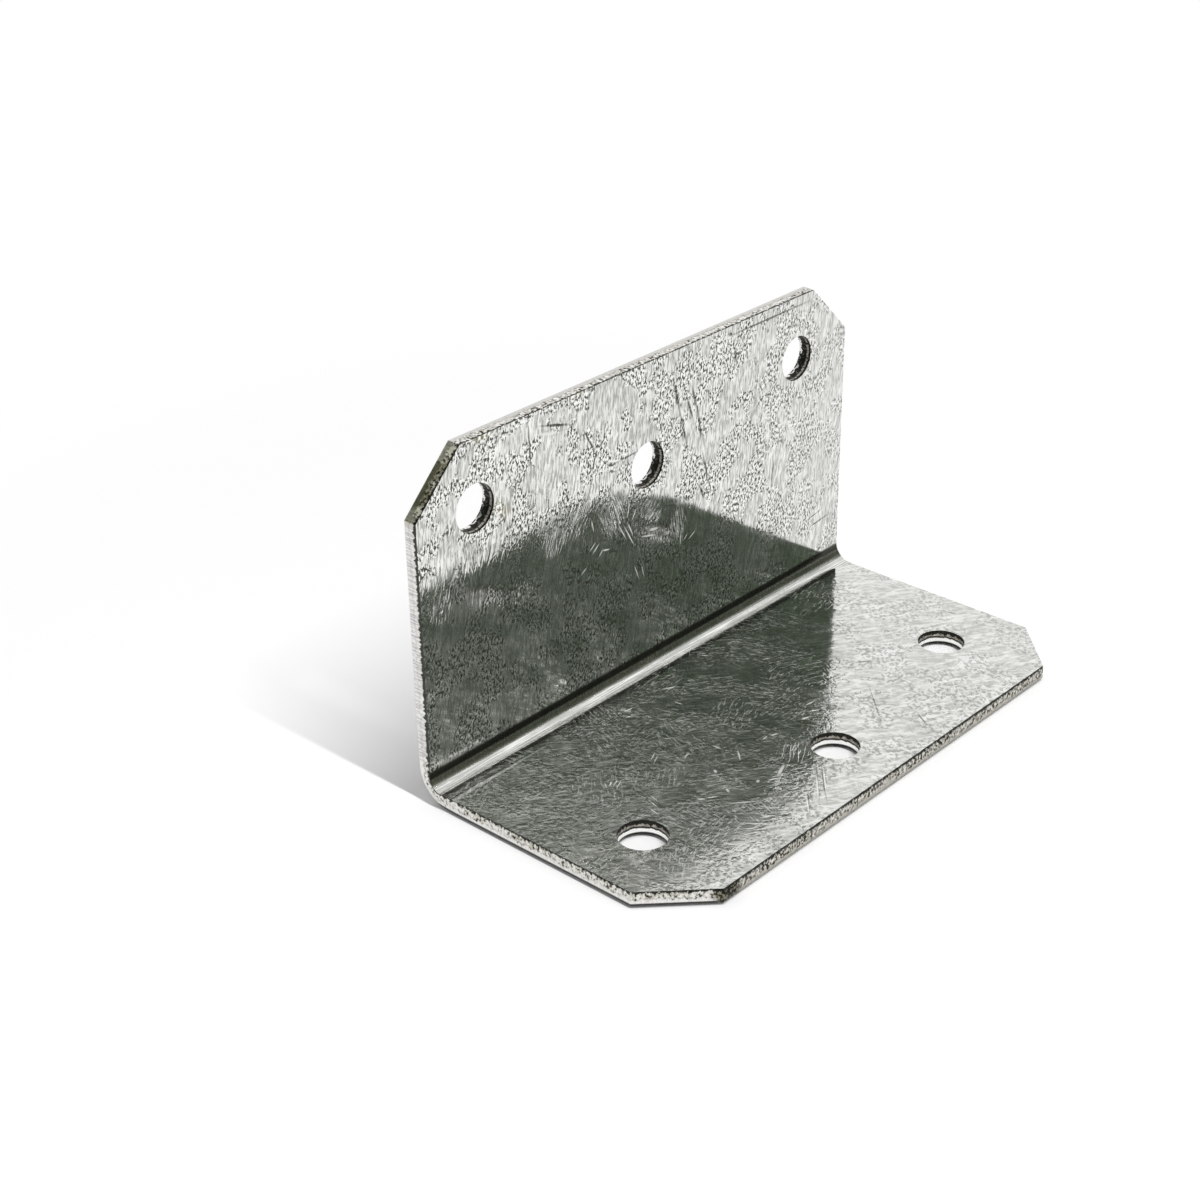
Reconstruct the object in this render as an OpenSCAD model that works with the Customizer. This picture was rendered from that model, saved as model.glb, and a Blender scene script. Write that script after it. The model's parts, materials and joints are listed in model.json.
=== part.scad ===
// Angle bracket: one strip of zinc-coated steel sheet, punched, cropped at its corners and folded once.
// X runs along the bend, the upright leg stands at the back (+Y), and the flat leg lies on Z = 0.
// The origin is under the middle of the bracket's box, on the surface that the flat leg rests on.

/* [Sheet] */
// Thickness of the steel sheet
sheet_t = 3; // [2:0.5:4]
// Inside radius of the bend
bend_r = 3; // [1.5:0.5:5]
// Width of the rim that the punch and the shear roll over on the outer faces
rolled_rim = 0.4; // [0.1:0.05:0.6]

/* [Legs] */
// Length of the bracket along the bend
bracket_l = 120; // [114:1:200]
// Height of the upright leg, from the underside of the flat leg
upright_h = 66.5; // [45:0.5:100]
// Depth of the flat leg, from the back of the upright leg
flat_d = 61.5; // [45:0.5:100]
// How far each cropped corner runs along the leg's two edges
corner_crop = 11; // [4:0.5:15]

/* [Holes] */
// Diameter of the holes
hole_d = 9; // [5:0.5:11]
// Distance from the middle hole of a leg to each of its outer holes, along the bracket
hole_pitch = 45; // [20:0.5:48]
// How far the hole pattern sits from the bracket's middle, along the bracket
hole_shift = -1; // [-2:0.5:2]
// Distance from a leg's free edge to its nearer holes
edge_near = 13; // [9:0.5:16]
// Distance from a leg's free edge to its farther holes
edge_far = 20.5; // [9:0.5:26]

/* [Hidden] */
$fn = 96;
steel = [0.74, 0.75, 0.75];
// The bend ends, and each flat leg starts, this far from the bracket's outer corner
bend_reach = sheet_t + bend_r;
// Side of the square bar that cuts a rolled rim along an edge
rim_bar = sqrt(2) * rolled_rim;
// Overrun of the cutting solids, so that no cut ends flush with a face
past = 1;

// Outline of one leg, from the bend's end at Y = 0 out to the free edge with its two cropped corners
function leg_outline(reach) = let (half = bracket_l / 2) [
    [-half, 0],
    [-half, reach - corner_crop],
    [-half + corner_crop, reach],
    [half - corner_crop, reach],
    [half, reach - corner_crop],
    [half, 0]
];

// Centres of a leg's three holes: the middle one is staggered against the outer two
function hole_centres(reach, outer_edge, middle_edge) = [
    [hole_shift - hole_pitch, reach - outer_edge],
    [hole_shift, reach - middle_edge],
    [hole_shift + hole_pitch, reach - outer_edge]
];

// A punched hole: a true bore, wider by the rolled rim where the punch went in, on the outer face
module punched_hole() {
    translate([0, 0, -past])
        cylinder(h = sheet_t + 2 * past, d = hole_d);
    translate([0, 0, -past])
        cylinder(h = rolled_rim + past, d1 = hole_d + 2 * (rolled_rim + past), d2 = hole_d);
}

// The rolled rim along the straight sheared edge from point a to point b of the outer face
module rolled_edge(a, b) {
    run = b - a;
    translate([a[0], a[1], 0])
        rotate([0, 0, atan2(run[1], run[0])])
            rotate([45, 0, 0])
                translate([norm(run) / 2, 0, 0])
                    cube([norm(run) + 2 * rolled_rim, rim_bar, rim_bar], center = true);
}

// The rolled rim along a leg's end edge: it stops flush at the bend, where the bend's own rim goes on
module rolled_end(side, length) {
    translate([side * bracket_l / 2, length / 2, 0])
        rotate([0, 45, 0])
            cube([rim_bar, length, rim_bar], center = true);
}

// One flat leg: the outer face lies on Z = 0, the inner face on Z = sheet_t
module leg(reach, outer_edge, middle_edge) {
    outline = leg_outline(reach);
    difference() {
        linear_extrude(height = sheet_t)
            polygon(outline);
        for (centre = hole_centres(reach, outer_edge, middle_edge))
            translate([centre[0], centre[1], 0])
                punched_hole();
        for (i = [1:3])
            rolled_edge(outline[i], outline[i + 1]);
        for (side = [-1, 1])
            rolled_end(side, reach - corner_crop);
    }
}

// The round bar that the bend is cut from: its two ends taper by the rolled rim
module bend_bar() {
    rotate_extrude()
        polygon([
            [0, -bracket_l / 2],
            [bend_reach - rolled_rim, -bracket_l / 2],
            [bend_reach, -bracket_l / 2 + rolled_rim],
            [bend_reach, bracket_l / 2 - rolled_rim],
            [bend_reach - rolled_rim, bracket_l / 2],
            [0, bracket_l / 2]
        ]);
}

// The fold: a quarter of a tube between the two legs, along X
module bend() {
    translate([0, -bend_reach, bend_reach])
        rotate([0, 90, 0])
            difference() {
                intersection() {
                    bend_bar();
                    translate([0, 0, -bracket_l])
                        cube([bend_reach + past, bend_reach + past, 2 * bracket_l]);
                }
                cylinder(h = bracket_l + 2 * past, r = bend_r, center = true);
            }
}

// The whole bracket: its back face on Y = flat_d / 2, its underside on Z = 0
module bracket() {
    color(steel)
        translate([0, flat_d / 2, 0]) {
            // Flat leg: the middle hole is the one nearer the free edge
            translate([0, -bend_reach, 0])
                mirror([0, 1, 0])
                    leg(flat_d - bend_reach, edge_far, edge_near);
            bend();
            // Upright leg: the outer holes are the ones nearer the free edge
            translate([0, 0, bend_reach])
                rotate([90, 0, 0])
                    leg(upright_h - bend_reach, edge_near, edge_far);
        }
}

bracket();
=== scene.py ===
"""Angle bracket: a folded strip of zinc-coated steel, with its sheared edges, punched holes and scratched faces.

All lengths are in metres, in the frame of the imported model: X along the bend, the upright leg at the back, Z up.
"""
import json
import math
from types import SimpleNamespace

import bpy
import numpy as np
from mathutils import Matrix, Vector


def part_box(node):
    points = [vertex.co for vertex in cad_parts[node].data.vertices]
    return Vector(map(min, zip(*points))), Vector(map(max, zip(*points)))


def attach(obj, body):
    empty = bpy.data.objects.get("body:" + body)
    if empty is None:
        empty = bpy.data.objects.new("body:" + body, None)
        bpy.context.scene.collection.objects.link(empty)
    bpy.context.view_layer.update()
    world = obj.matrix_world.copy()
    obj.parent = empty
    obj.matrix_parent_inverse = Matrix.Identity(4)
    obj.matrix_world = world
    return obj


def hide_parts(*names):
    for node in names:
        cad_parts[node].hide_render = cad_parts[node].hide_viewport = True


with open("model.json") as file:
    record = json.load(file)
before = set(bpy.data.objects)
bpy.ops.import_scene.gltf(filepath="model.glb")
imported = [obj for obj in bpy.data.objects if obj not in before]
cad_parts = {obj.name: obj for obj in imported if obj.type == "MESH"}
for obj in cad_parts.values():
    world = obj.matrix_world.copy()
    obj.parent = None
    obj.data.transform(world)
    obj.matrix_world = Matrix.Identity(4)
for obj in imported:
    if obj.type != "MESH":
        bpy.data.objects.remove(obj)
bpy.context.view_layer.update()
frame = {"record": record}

MM = 0.001

# Sizes of the sheet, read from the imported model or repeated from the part's source
low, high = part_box("bracket")
SHEET = 3.0 * MM
BEND_INSIDE = 3.0 * MM
CORNER_CROP = 11.0 * MM
BEND_REACH = SHEET + BEND_INSIDE
BEND_ARC = math.pi / 2 * (BEND_INSIDE + SHEET / 2)
TANGENT_Y = high.y - BEND_REACH
FREE_EDGE = -(TANGENT_Y - low.y)
TOP_EDGE = BEND_ARC + high.z - BEND_REACH
END_U = high.x

# Cut edges: the rolled rim on the outer face, the smooth sheared band, then the torn band up to the inner face
RIM_IN = 0.5 * MM
RIM_DEEP = 0.45 * MM
SHEARED_TO = 1.45 * MM
TORN_SLOPE = 0.10 * MM
TORN_GRAIN = 0.022 * MM
BURR_WAVE = 0.05 * MM
BAND_WAVE = 0.25 * MM
# Ripples of the sheared band's border and of the torn band: how many sines, and the range of their turns
BAND_RIPPLE = (9, 5, 60)
TORN_RIPPLE = (12, 40, 300)
# Rows of the mesh on each part of a cut edge
RIM_ROWS = 5
SHEARED_ROWS = 2
TORN_ROWS = 7

# The bend's ends: how far they swell at the inner face, draw in at the outer one, and reach along the edge
BULGE_INSIDE = 0.42 * MM
DRAW_OUTSIDE = 0.32 * MM
BULGE_REACH = 0.55 * BEND_ARC

# Spacing of the mesh along cut edges and along the lines inside a face
EDGE_STEP = 0.5 * MM
LINE_STEP = 1.6 * MM
BEND_ROWS = 24
# Flat rows beside the bend, by their distance from it
MARGINS = np.array([3.0, 1.2, 0.3]) * MM
# Vertices closer than this are one, a point closer than this to an end lies on it, and edges past this are sharp
SAME_PLACE = 0.0002 * MM
NEAR = 0.01 * MM
SHARP_ANGLE = math.radians(32)
# Places of the rings between a hole's rim, 0, and its cell's boundary, 1
RING_PLACES = np.array([0, 0.015, 0.05, 0.14, 0.3, 0.5, 0.7, 0.86, 0.95, 0.988, 1.0])


def fold(u, v, w):
    """Folds the flat blank into the bracket.

    u runs along the bend and v across it, w is the height above the outer face. Up to v = 0 the sheet lies flat.
    From there to v = BEND_ARC it turns through a right angle: a point at height w goes round the bend's axis at
    the radius BEND_REACH - w. Past that the sheet stands upright.
    """
    turn = np.clip(v / BEND_ARC, 0, 1) * (math.pi / 2)
    radius = BEND_REACH - w
    y = TANGENT_Y + np.minimum(v, 0) + radius * np.sin(turn)
    z = BEND_REACH - radius * np.cos(turn) + np.maximum(v - BEND_ARC, 0)
    return np.stack([u + 0 * v, y, z], axis=-1)


def steps_in(length, step):
    """How many even steps of about the given size a length takes."""
    return max(2, int(round(abs(length) / step)))


def line(start, end, count):
    """Points from start to end in the given number of even steps, both ends included."""
    start, end = np.array(start, float), np.array(end, float)
    share = np.linspace(0, 1, count + 1)[:, None]
    return start * (1 - share) + end * share


def waves(along, around, count, lowest, highest, seed):
    """A smooth ripple from -1 to 1: the mean of sines that each go a whole number of times around the path."""
    draw = np.random.default_rng(seed)
    turns = draw.integers(lowest, highest, count)[:, None]
    phases = draw.uniform(0, 2 * math.pi, count)[:, None]
    return np.sin(2 * math.pi * turns * along[None] / around + phases).mean(axis=0) * 2


def edge_profile(along, around, seed):
    """Depth w and inset of every row of a cut edge, as arrays of (row, point on the path).

    The rolled rim is a quarter of an ellipse, the sheared band is straight, and the torn band leans inwards with
    a slow ripple and a random grain that differs from point to point.
    """
    draw = np.random.default_rng(seed)
    angle = np.linspace(0, math.pi / 2, RIM_ROWS)
    rim_w = RIM_DEEP * (1 - np.cos(angle))
    rim_in = RIM_IN * (1 - np.sin(angle))
    band = SHEARED_TO + BAND_WAVE * waves(along, around, *BAND_RIPPLE, seed)
    share = np.linspace(0, 1, SHEARED_ROWS + 1)[1:, None]
    sheared_w = RIM_DEEP * (1 - share) + band[None] * share
    share = np.linspace(0, 1, TORN_ROWS + 1)[1:, None]
    torn_w = band[None] * (1 - share) + SHEET * share
    ripple = np.stack([waves(along, around, *TORN_RIPPLE, seed + 1 + row) for row in range(TORN_ROWS)])
    grain = draw.normal(0, 1, torn_w.shape) * TORN_GRAIN
    torn_in = TORN_SLOPE * share + BURR_WAVE * ripple * share + np.abs(grain) * np.sin(math.pi * share * 0.9)
    ones = np.ones((1, along.size))
    depth = np.concatenate([rim_w[:, None] * ones, sheared_w, torn_w])
    inset = np.concatenate([rim_in[:, None] * ones, 0 * sheared_w, np.maximum(torn_in, 0)])
    return depth, inset


class Shell:
    """Gathers grids of vertices and quads, each with its UV, and joins them where their vertices meet."""

    def __init__(self):
        self.points, self.uvs, self.quads, self.materials = [], [], [], []
        self.size = 0

    def grid(self, points, uv, material, flip=False, closed=False):
        """Adds a grid of (row, column) points; unless flipped its faces look along columns x rows."""
        rows, columns = points.shape[:2]
        index = np.arange(rows * columns).reshape(rows, columns) + self.size
        if closed:
            index = np.concatenate([index, index[:, :1]], axis=1)
        a, b, c, d = index[:-1, :-1], index[:-1, 1:], index[1:, 1:], index[1:, :-1]
        quads = np.stack([a, d, c, b] if flip else [a, b, c, d], axis=-1).reshape(-1, 4)
        self.points.append(points.reshape(-1, 3))
        self.uvs.append(uv.reshape(-1, 2))
        self.quads.append(quads)
        self.materials.append(np.full(len(quads), material))
        self.size += rows * columns

    def mesh(self, name):
        """One closed mesh: vertices that share a place are one, and each corner keeps its own UV."""
        points, uvs = np.concatenate(self.points), np.concatenate(self.uvs)
        quads, materials = np.concatenate(self.quads), np.concatenate(self.materials)
        cells = np.round(points / SAME_PLACE).astype(np.int64)
        _, first, joined = np.unique(cells, axis=0, return_index=True, return_inverse=True)
        mesh = bpy.data.meshes.new(name)
        mesh.from_pydata(points[first], [], joined.reshape(-1)[quads].tolist())
        layer = mesh.uv_layers.new(name="sheet")
        layer.data.foreach_set("uv", uvs[quads].reshape(-1))
        mesh.polygons.foreach_set("material_index", materials)
        mesh.polygons.foreach_set("use_smooth", np.ones(len(quads), bool))
        mesh.update()
        mesh.set_sharp_from_angle(angle=SHARP_ANGLE)
        return mesh


# The mesh's material slots
FACE, CUT = 0, 1
# Where the outer faces and the holes' walls lie on the sheet UV, away from the inner faces' marks
OUTER_PLACE = np.array([300.0, 200.0]) * MM
WALL_PLACE = {"flat": 2000 * MM, "upright": 3000 * MM}


def leg_holes():
    """Centre (u, v) and radius of each hole on the blank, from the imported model's bores, left to right."""
    flat, upright = [], []
    for mount in frame["record"]["mounts"]:
        if mount["kind"] != "bore":
            continue
        x, y, z = mount["pos_m"]
        radius = mount["dims"]["r_mm"] * MM
        if abs(mount["axis"][2]) > 0.5:
            flat.append((x, y - TANGENT_Y, radius))
        else:
            upright.append((x, BEND_ARC + z - BEND_REACH, radius))
    return sorted(flat), sorted(upright)


def outline():
    """The blank's outline as a closed path, counterclockwise, in named stretches between the cells' corners."""
    flat = leg_holes()[0]
    columns = [(flat[0][0] + flat[1][0]) / 2, (flat[1][0] + flat[2][0]) / 2]
    left, right = -END_U, END_U
    near, far = -MARGINS[0], BEND_ARC + MARGINS[0]
    corners = [
        ("flat_left", (left, near)), ("flat_left", (left, FREE_EDGE + CORNER_CROP)),
        ("flat_left", (left + CORNER_CROP, FREE_EDGE)), ("flat_middle", (columns[0], FREE_EDGE)),
        ("flat_right", (columns[1], FREE_EDGE)), ("flat_right", (right - CORNER_CROP, FREE_EDGE)),
        ("flat_right", (right, FREE_EDGE + CORNER_CROP)), ("bend_right", (right, near)),
        ("upright_right", (right, far)), ("upright_right", (right, TOP_EDGE - CORNER_CROP)),
        ("upright_right", (right - CORNER_CROP, TOP_EDGE)), ("upright_middle", (columns[1], TOP_EDGE)),
        ("upright_left", (columns[0], TOP_EDGE)), ("upright_left", (left + CORNER_CROP, TOP_EDGE)),
        ("upright_left", (left, TOP_EDGE - CORNER_CROP)), ("bend_left", (left, far)),
    ]
    rows = np.concatenate([-MARGINS, np.linspace(0, BEND_ARC, BEND_ROWS + 1), BEND_ARC + MARGINS[::-1]])
    path, names = [], []
    for i, (name, start) in enumerate(corners):
        end = corners[(i + 1) % len(corners)][1]
        if name == "bend_right":
            stretch = np.stack([np.full(rows.size, right), rows], axis=1)
        elif name == "bend_left":
            stretch = np.stack([np.full(rows.size, left), rows[::-1]], axis=1)
        else:
            stretch = line(start, end, steps_in(math.dist(start, end), EDGE_STEP))
        path.append(stretch[:-1])
        names += [name] * (len(stretch) - 1)
    return np.concatenate(path), np.array(names), columns, rows


def outward(path):
    """At each point of a closed counterclockwise path, the step outwards that moves both its sides by one."""
    def normal(step):
        return np.stack([step[:, 1], -step[:, 0]], axis=1) / np.linalg.norm(step, axis=1)[:, None]
    arriving, leaving = normal(path - np.roll(path, 1, axis=0)), normal(np.roll(path, -1, axis=0) - path)
    both = arriving + leaving
    return both / (both * leaving).sum(axis=1)[:, None]


def folded_sheet():
    """The whole bracket as one closed mesh.

    The blank's outline and its six holes carry the cut edge's profile. Between a hole and its cell's boundary each
    face is a fan of straight rays: a point at share s is (1 - s) times the rim's point plus s times the boundary's.
    The bend is a grid of rows along X. Every point is then folded.
    """
    path, names, columns, rows = outline()
    steps = np.linalg.norm(np.roll(path, -1, axis=0) - path, axis=1)
    along = np.concatenate([[0], np.cumsum(steps)[:-1]])
    around = steps.sum()
    depth, inset = edge_profile(along, around, seed=11)
    bulge = bend_bulge(path, depth)
    cut = path[None] - outward(path)[None] * (inset - bulge)[..., None]
    shell = Shell()
    points = fold(cut[..., 0], cut[..., 1], depth)
    uv = np.stack([np.broadcast_to(along, depth.shape), depth], axis=-1)
    closing = np.concatenate([uv, np.stack([np.full(len(depth), around), depth[:, 0]], axis=-1)[:, None]], axis=1)
    closed = np.concatenate([points, points[:, :1]], axis=1)
    shell.grid(closed, closing, CUT)
    for top in (False, True):
        boundary = cut[-1] if top else cut[0]
        face_bend(shell, boundary, names, columns, rows, top)
        for leg in ("flat", "upright"):
            face_cells(shell, path, boundary, names, columns, leg, top)
    for leg in ("flat", "upright"):
        hole_walls(shell, path, names, columns, leg)
    return shell.mesh("bracket_sheet")


def bend_bulge(path, depth):
    """How far the bend's two ends move outwards: they swell at the inner face and draw in at the outer one.

    Across the bend the move fades as exp(-p^2), with p the distance from its middle over BULGE_REACH.
    """
    place = (path[:, 1] - BEND_ARC / 2) / BULGE_REACH
    at_end = np.abs(np.abs(path[:, 0]) - END_U) < NEAR
    swell = np.exp(-place ** 2) * at_end
    return (BULGE_INSIDE * (depth / SHEET) ** 2 - DRAW_OUTSIDE * (1 - depth / SHEET)) * swell[None]


def face_bend(shell, boundary, names, columns, rows, top):
    """One face of the bend, with a narrow flat margin on both sides: a grid of its rows and of lines along X."""
    w = SHEET if top else 0.0
    right = boundary[names == "bend_right"]
    left = boundary[names == "bend_left"][::-1]
    right = np.concatenate([right, boundary[names == "upright_right"][:1]])
    left = np.concatenate([boundary[names == "flat_left"][:1], left])
    posts = [np.stack([np.full(len(rows), column), rows], axis=1) for column in columns]
    stops = [left, *posts, right]
    parts = []
    for start, end, count in zip(stops[:-1], stops[1:], cell_steps(columns)):
        share = np.linspace(0, 1, count + 1)[None, :, None]
        parts.append(start[:, None] * (1 - share) + end[:, None] * share)
    plan = np.concatenate([parts[0][:, :-1], parts[1][:, :-1], parts[2]], axis=1)
    points = fold(plan[..., 0], plan[..., 1], w)
    shell.grid(points, plan if top else plan + OUTER_PLACE, FACE, flip=not top)


def cell_steps(columns):
    """The number of steps across each of the three cells, left to right."""
    stops = [-END_U, columns[0], columns[1], END_U]
    return [steps_in(b - a, LINE_STEP) for a, b in zip(stops[:-1], stops[1:])]


def cell_loops(path_like, names, columns, leg):
    """The three closed cells of a leg, left to right, each a counterclockwise loop around one hole."""
    near, far = (-MARGINS[0], FREE_EDGE) if leg == "flat" else (BEND_ARC + MARGINS[0], TOP_EDGE)
    post_steps = steps_in(far - near, LINE_STEP)
    def stretch(part):
        return path_like[names == f"{leg}_{part}"]
    nearest = {
        "flat": {"left": stretch("left")[:1], "right": path_like[names == "bend_right"][:1]},
        "upright": {"right": stretch("right")[:1], "left": path_like[names == "bend_left"][:1]},
    }[leg]
    posts = [np.array([columns[0], near]), np.array([columns[1], near])]
    feet = [nearest["left"][0], posts[0], posts[1], nearest["right"][0]]
    base = [line(a, b, count) for a, b, count in zip(feet[:-1], feet[1:], cell_steps(columns))]
    if leg == "flat":
        ends = [stretch("middle")[0], stretch("right")[0]]
        posts = [line(post, end, post_steps) for post, end in zip(posts, ends)]
        return [
            np.concatenate([stretch("left"), posts[0][::-1][:-1], base[0][::-1][:-1]]),
            np.concatenate([posts[0][:-1], stretch("middle"), posts[1][::-1][:-1], base[1][::-1][:-1]]),
            np.concatenate([posts[1][:-1], stretch("right"), base[2][::-1][:-1]]),
        ]
    ends = [stretch("left")[0], stretch("middle")[0]]
    posts = [line(post, end, post_steps) for post, end in zip(posts, ends)]
    return [
        np.concatenate([base[0][:-1], posts[0][:-1], stretch("left")]),
        np.concatenate([base[1][:-1], posts[1][:-1], stretch("middle"), posts[0][::-1][:-1]]),
        np.concatenate([base[2][:-1], stretch("right"), posts[1][::-1][:-1]]),
    ]


def hole_rim(hole, angles, seed):
    """Depth and the points (u, v) of every row of a punched hole's wall, at the given angles round its centre."""
    u, v, radius = hole
    depth, inset = edge_profile(angles * radius, 2 * math.pi * radius, seed)
    rim = np.stack([u + (radius + inset) * np.cos(angles), v + (radius + inset) * np.sin(angles)], axis=-1)
    return depth, rim


def cell_angles(path, names, columns, leg):
    """For each cell of a leg, the direction from its hole's centre to each point of the nominal boundary."""
    holes = leg_holes()[0 if leg == "flat" else 1]
    loops = cell_loops(path, names, columns, leg)
    return holes, [np.arctan2(loop[:, 1] - hole[1], loop[:, 0] - hole[0]) for loop, hole in zip(loops, holes)]


# The seed of each hole's wall, left to right
HOLE_SEEDS = {"flat": (31, 47, 59), "upright": (67, 83, 97)}


def face_cells(shell, path, boundary, names, columns, leg, top):
    """One face of a leg: three fans of rays from the holes' rims to the cells' boundaries."""
    w = SHEET if top else 0.0
    holes, all_angles = cell_angles(path, names, columns, leg)
    loops = cell_loops(boundary, names, columns, leg)
    for hole, angles, loop, seed in zip(holes, all_angles, loops, HOLE_SEEDS[leg]):
        rim = hole_rim(hole, angles, seed)[1][-1 if top else 0]
        share = RING_PLACES[:, None, None]
        plan = rim[None] * (1 - share) + loop[None] * share
        points = fold(plan[..., 0], plan[..., 1], w)
        shell.grid(points, plan if top else plan + OUTER_PLACE, FACE, flip=top, closed=True)


def hole_walls(shell, path, names, columns, leg):
    """The walls of a leg's holes: the cut edge's profile carried round each circle."""
    holes, all_angles = cell_angles(path, names, columns, leg)
    for hole, angles, seed in zip(holes, all_angles, HOLE_SEEDS[leg]):
        depth, rim = hole_rim(hole, angles, seed)
        points = fold(rim[..., 0], rim[..., 1], depth)
        turned = np.unwrap(np.append(angles, angles[0]))
        sweep = np.broadcast_to(WALL_PLACE[leg] + turned * hole[2], (len(depth), turned.size))
        uv = np.stack([sweep, np.concatenate([depth, depth[:, :1]], axis=1)], axis=-1)
        closed = np.concatenate([points, points[:, :1]], axis=1)
        shell.grid(closed, uv, CUT, flip=True)


def new_object(name, data):
    """A new object in the scene."""
    thing = bpy.data.objects.new(name, data)
    bpy.context.scene.collection.objects.link(thing)
    return thing


def new_material(name):
    """An empty node material and its tree."""
    material = bpy.data.materials.new(name)
    material.use_nodes = True
    material.node_tree.nodes.clear()
    return material, material.node_tree


def add(tree, kind, inputs=None, **settings):
    """Adds a node, sets its settings and fills its inputs with values or links."""
    node = tree.nodes.new(kind)
    for key, value in settings.items():
        setattr(node, key, value)
    for key, value in (inputs or {}).items():
        if isinstance(value, bpy.types.NodeSocket):
            tree.links.new(value, node.inputs[key])
        else:
            node.inputs[key].default_value = value
    return node


def math_node(tree, operation, *values, clamp=False):
    """A Math node's output for the given values."""
    return add(tree, "ShaderNodeMath", dict(enumerate(values)), operation=operation, use_clamp=clamp).outputs[0]


def vector_node(tree, operation, *values):
    """A Vector Math node for the given values."""
    return add(tree, "ShaderNodeVectorMath", dict(enumerate(values)), operation=operation)


def times(tree, first, second):
    """The product of two values."""
    return math_node(tree, "MULTIPLY", first, second)


def ramp(tree, value, start, end, low_value=0.0, high_value=1.0):
    """A smooth step of the value: low_value up to start, high_value from end on."""
    node = add(tree, "ShaderNodeMapRange", {
        "Value": value, "From Min": start, "From Max": end, "To Min": low_value, "To Max": high_value,
    }, interpolation_type="SMOOTHSTEP")
    return node.outputs["Result"]


def eased(tree, amount, at_zero, at_one):
    """A smooth step from one value, where the amount is 0, to another, where it is 1."""
    return ramp(tree, amount, 0.0, 1.0, at_zero, at_one)


def between(tree, value, start, end):
    """1 from the end of the rising ramp to the end of the falling one, and 0 outside them."""
    return times(tree, ramp(tree, value, *start), ramp(tree, value, *end))


def close_to(tree, value, middle, outer, inner):
    """1 where the value is within the inner distance of the middle, 0 past the outer distance."""
    distance = math_node(tree, "ABSOLUTE", math_node(tree, "SUBTRACT", value, middle))
    return ramp(tree, distance, outer, inner)


def summed(tree, total, parts):
    """The total plus each part times its own factor."""
    for part, factor in parts:
        total = math_node(tree, "MULTIPLY_ADD", part, factor, total)
    return total


def mixed(tree, amount, under, over):
    """The first colour where the amount is 0, the second where it is 1."""
    return add(tree, "ShaderNodeMix", {0: amount, 6: under, 7: over}, data_type="RGBA").outputs[2]


def layered(tree, base, layers):
    """The base colour with the layers mixed over it in turn, each by its own amount."""
    colour = (*base, 1)
    for amount, over in layers:
        colour = mixed(tree, amount, colour, (*over, 1))
    return colour


def bumped(tree, height):
    """The normal of a surface with the given height in thousandths of a millimetre."""
    return add(tree, "ShaderNodeBump", {"Height": height, "Strength": 1.0, "Distance": 0.001 * MM}).outputs[0]


def metal(tree, colour, rough, normal):
    """Bare metal as the material's surface."""
    shader = add(tree, "ShaderNodeBsdfPrincipled", {
        "Base Color": colour, "Metallic": 1.0, "Roughness": rough, "Normal": normal,
    })
    add(tree, "ShaderNodeOutputMaterial", {"Surface": shader.outputs[0]})


def sheet_millimetres(tree):
    """The blank's own coordinates in millimetres, from the sheet UV."""
    uv = add(tree, "ShaderNodeUVMap", uv_map="sheet").outputs["UV"]
    return vector_node(tree, "MULTIPLY", uv, (1 / MM,) * 3).outputs[0]


def noise(tree, vector, scale, detail=3.0, rough=0.5, warp=0.0):
    """A Noise texture's value on the given coordinates."""
    return add(tree, "ShaderNodeTexNoise", {
        "Vector": vector, "Scale": scale, "Detail": detail, "Roughness": rough, "Distortion": warp,
    }, noise_dimensions="2D").outputs["Fac"]


def blank_point(tree, place, across=1.0, along=1.0, angle=0.0, shift=(0.0, 0.0)):
    """The blank's coordinates turned by an angle and scaled, for a pattern that is finer one way than the other."""
    return add(tree, "ShaderNodeMapping", {
        "Vector": place, "Location": (*shift, 0), "Rotation": (0, 0, math.radians(angle)),
        "Scale": (across, along, 1),
    }, vector_type="POINT").outputs[0]


def lens(tree, place, u, v, angle, length, width):
    """Coordinates in a long ellipse centred on (u, v): 1 at its two tips and at its two sides, 0 in its middle."""
    return add(tree, "ShaderNodeMapping", {
        "Vector": place, "Location": (u, v, 0), "Rotation": (0, 0, math.radians(angle)),
        "Scale": (length / 2, width / 2, 1),
    }, vector_type="TEXTURE").outputs[0]


def reach(tree, vector):
    """The vector's length."""
    return vector_node(tree, "LENGTH", vector).outputs["Value"]


# The renderer holds only so many values at a time, so the marks are worked out in groups of this size
SCRATCHES_AT_ONCE = 6
SCUFFS_AT_ONCE = 4


def after(tree, place, total):
    """The same place, worked out only once the total is known, so that few values are held at a time."""
    return vector_node(tree, "MULTIPLY_ADD", total, (1e-6,) * 3, place).outputs[0]


def either(tree, amount, first, second):
    """The first vector where the amount is 0, the second where it is 1."""
    return add(tree, "ShaderNodeMix", {0: amount, 4: first, 5: second}, data_type="VECTOR").outputs[1]


def drawn(tree, place, standing, marks):
    """Coordinates of a pattern that runs one way on the flat leg and another way on the upright leg."""
    flat, upright = [lens(tree, place, 0, 0, *mark) for mark in marks]
    return either(tree, standing, flat, upright)


def scratches(tree, place, marks):
    """The sum of single scratches, each a thin lens that is deepest on its middle line."""
    total = 0.0
    for i, (u, v, angle, length, width) in enumerate(marks):
        if i % SCRATCHES_AT_ONCE == SCRATCHES_AT_ONCE - 1:
            place = after(tree, place, total)
        inside = ramp(tree, reach(tree, lens(tree, place, u, v, angle, length, width)), 0.25, 1.0, 1.0, 0.0)
        total = math_node(tree, "ADD", inside, total)
    return total


# How often a scuff's stripes break along their length
STRIPE_BREAKS = 1.1


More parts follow.
